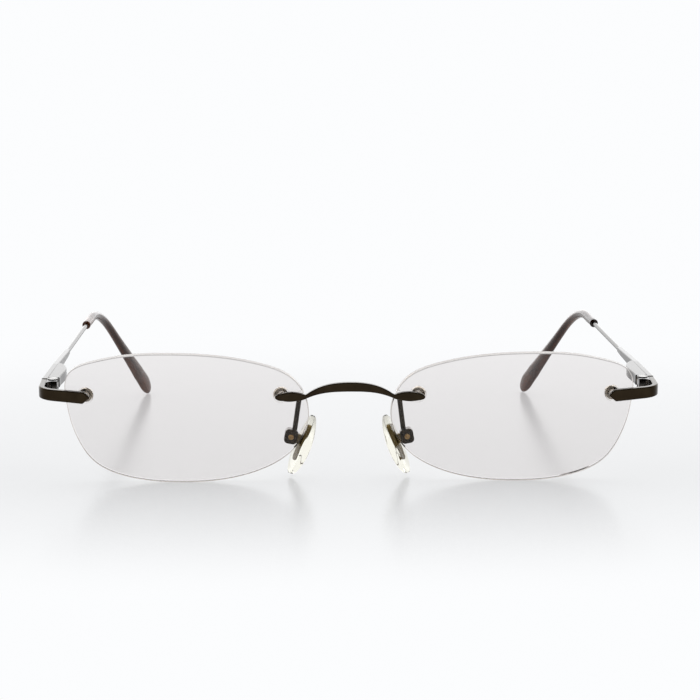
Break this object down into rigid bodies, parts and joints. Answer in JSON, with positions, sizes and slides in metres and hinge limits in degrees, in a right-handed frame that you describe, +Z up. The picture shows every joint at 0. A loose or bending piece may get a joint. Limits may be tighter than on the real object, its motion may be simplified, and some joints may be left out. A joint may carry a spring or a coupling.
{
  "type": "rimless eyeglasses",
  "caption": "Rimless reading eyeglasses with drilled lenses, an arched metal bridge, rocking nose pads and sprung folding temples with acetate ear tips.",
  "frame": {"origin": "centre of the bounding box in plan, on the ground that the lenses and temple tips stand on", "axes": "+X towards the wearer's left, +Y back from the lenses to the ear tips, +Z up"},
  "size_m": [0.1358, 0.133, 0.0287],
  "materials": {
    "lens": "clear polished lens, edge ground to a satin finish",
    "dark_metal": "black-brown plated metal, satin gloss",
    "silver": "nickel silver",
    "brass": "brass screws and pad core strip",
    "steel": "bare steel",
    "clear_plastic": "clear nylon bush",
    "pad_silicone": "clear soft plastic, slightly yellowed",
    "tip_acetate": "translucent dark brown acetate"
  },
  "bodies": {
    "front": {"bridge": "dark_metal", "bridge_studs": "silver", "endpiece_studs": "silver", "lens_bushes": "clear_plastic", "lens_washers": "silver", "lens_nuts": "silver", "left_lens": "lens", "left_endpiece": "dark_metal", "left_hinge_leaf": "dark_metal", "left_hinge_screw": "steel", "left_pad_arm": "dark_metal", "left_pad_box": "dark_metal", "left_pad_screw": "brass", "right_lens": "lens", "right_endpiece": "dark_metal", "right_hinge_leaf": "dark_metal", "right_hinge_screw": "steel", "right_pad_arm": "dark_metal", "right_pad_box": "dark_metal", "right_pad_screw": "brass"},
    "left_slider": {"left_hinge_slider": "steel", "left_spring_collar": "steel"},
    "left_temple": {"left_temple": "dark_metal", "left_temple_tip": "tip_acetate", "left_spring_housing": "dark_metal", "left_rod_guide": "brass", "left_hinge_spring": "steel"},
    "left_nose_pad": {"left_nose_pad": "pad_silicone", "left_pad_core": "brass"},
    "right_slider": {"right_hinge_slider": "steel", "right_spring_collar": "steel"},
    "right_temple": {"right_temple": "dark_metal", "right_temple_tip": "tip_acetate", "right_spring_housing": "dark_metal", "right_rod_guide": "brass", "right_hinge_spring": "steel"},
    "right_nose_pad": {"right_nose_pad": "pad_silicone", "right_pad_core": "brass"}
  },
  "joints": [
    {"name": "left_temple_fold", "type": "hinge", "parent": "front", "child": "left_slider", "pos_m": [0.06535, -0.05423, 0.02061], "axis": [0, -0.0872, 0.9962], "range_deg": [-7, 84]},
    {"name": "left_spring_slide", "type": "slide", "parent": "left_slider", "child": "left_temple", "axis": [-0.0602, 0.9956, 0.0714], "range_m": [0, 0.0008], "stiffness_N_per_m": 400, "springref_m": -0.002, "deforming": ["left_hinge_spring"]},
    {"name": "left_pad_rock", "type": "hinge", "parent": "front", "child": "left_nose_pad", "pos_m": [0.0129, -0.05604, 0.00921], "axis": [0, -0.9962, -0.0872], "range_deg": [-10, 10]},
    {"name": "right_temple_fold", "type": "hinge", "parent": "front", "child": "right_slider", "pos_m": [-0.06535, -0.05423, 0.02061], "axis": [0, 0.0872, -0.9962], "range_deg": [-7, 78]},
    {"name": "right_spring_slide", "type": "slide", "parent": "right_slider", "child": "right_temple", "axis": [0.0602, 0.9956, 0.0714], "range_m": [0, 0.0008], "stiffness_N_per_m": 400, "springref_m": -0.002, "deforming": ["right_hinge_spring"]},
    {"name": "right_pad_rock", "type": "hinge", "parent": "front", "child": "right_nose_pad", "pos_m": [-0.0129, -0.05604, 0.00921], "axis": [0, 0.9962, 0.0872], "range_deg": [-10, 10]}
  ]
}
